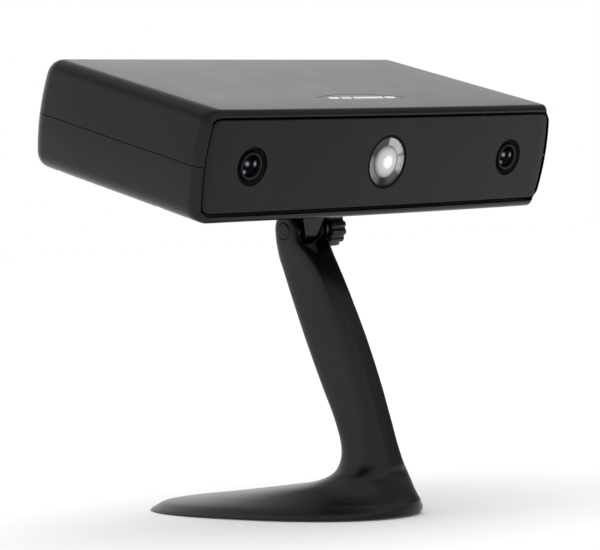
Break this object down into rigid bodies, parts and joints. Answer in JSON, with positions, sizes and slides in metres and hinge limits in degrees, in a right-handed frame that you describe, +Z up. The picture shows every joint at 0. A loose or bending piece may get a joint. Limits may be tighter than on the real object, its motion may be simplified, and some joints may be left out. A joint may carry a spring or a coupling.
{
  "type": "desktop scanner on stand",
  "caption": "Flat boxed structured-light scanner head with a central projector between its cameras, tilting on a curved weighted desk stand with a thumb knob.",
  "frame": {"origin": "on the desk, under the middle of the foot, on the underside of the foot's anti-slip pad", "axes": "+Z up, +X along the head's width to the right as seen from the front, the lenses face -Y and the foot's toe points to +Y"},
  "size_m": [0.227, 0.1655, 0.2114],
  "materials": {
    "casing": "fine moulded grain, satin",
    "panel": "smooth satin",
    "badge": null,
    "stand_plastic": "smooth satin moulding",
    "knob_plastic": "satin, fluted",
    "foot_rubber": "matt anti-slip",
    "insert_brass": "turned",
    "steel_hardware": "black-zinc and bright",
    "plate_steel": "cut plate",
    "washer_plastic": "black nylon",
    "lens_glass": "coated optical glass",
    "black_metal": "black anodised look",
    "bezel_plastic": "gloss black",
    "reflector_chrome": "bright turned ring",
    "black_plastic": "moulded",
    "circuit_board": "solder mask",
    "engine_casting": "dark cast",
    "aluminium_parts": "extruded and machined",
    "ribbon_film": "flexible film",
    "socket_metal": "plated",
    "button_plastic": "satin",
    "light_lens": "frosted light pipe"
  },
  "bodies": {
    "stand": {"stand_body": "stand_plastic", "ballast_plate": "plate_steel", "base_cover": "stand_plastic", "base_screws": "steel_hardware", "foot_pad": "foot_rubber", "hinge_bolt": "steel_hardware", "pin_cap": "stand_plastic", "friction_washers": "washer_plastic", "clamp_washer": "steel_hardware"},
    "head": {"upper_shell": "casing", "lower_shell": "casing", "front_panel": "panel", "rear_panel": "panel", "badge": "badge", "case_screws": "steel_hardware", "left_camera_bezel": "bezel_plastic", "left_lens_barrel": "black_metal", "left_lens_glass": "lens_glass", "left_camera_holder": "black_plastic", "left_sensor_board": "circuit_board", "right_camera_bezel": "bezel_plastic", "right_lens_barrel": "black_metal", "right_lens_glass": "lens_glass", "right_camera_holder": "black_plastic", "right_sensor_board": "circuit_board", "projector_bezel": "bezel_plastic", "projector_reflector": "reflector_chrome", "projector_lens": "lens_glass", "projector_barrel": "black_metal", "projector_engine": "engine_casting", "heat_sink": "aluminium_parts", "fan_frame": "black_plastic", "fan_screws": "steel_hardware", "optics_bench": "aluminium_parts", "bench_screws": "steel_hardware", "main_board": "circuit_board", "driver_board": "circuit_board", "board_screws": "steel_hardware", "processor_cooler": "aluminium_parts", "usb_socket": "socket_metal", "power_socket": "black_plastic", "left_ribbon": "ribbon_film", "right_ribbon": "ribbon_film", "link_ribbon": "ribbon_film", "button_switch": "black_plastic", "status_light": "light_lens", "mounting_plate": "plate_steel", "mounting_lug": "stand_plastic", "lug_screws": "steel_hardware"},
    "knob": {"thumb_knob": "knob_plastic", "knob_insert": "insert_brass", "knob_cap": "knob_plastic"},
    "rotor": {"fan_rotor": "black_plastic"},
    "button": {"power_button": "button_plastic"}
  },
  "joints": [
    {"name": "head_tilt", "type": "hinge", "parent": "stand", "child": "head", "pos_m": [0, -0.022, 0.13], "axis": [1, 0, 0], "range_deg": [-46.5, 28.5]},
    {"name": "knob_turn", "type": "hinge", "parent": "stand", "child": "knob", "pos_m": [0.0167, -0.022, 0.13], "axis": [1, 0, 0], "range_deg": [0, 360]},
    {"name": "fan_spin", "type": "hinge", "parent": "head", "child": "rotor", "pos_m": [0, 0.02063, 0.18748], "axis": [0, 0.9588, 0.284], "continuous": true},
    {"name": "button_press", "type": "slide", "parent": "head", "child": "button", "axis": [0, -0.9588, -0.284], "range_m": [0, 0.0012], "stiffness_N_per_m": 1500, "springref_m": -0.0005}
  ]
}
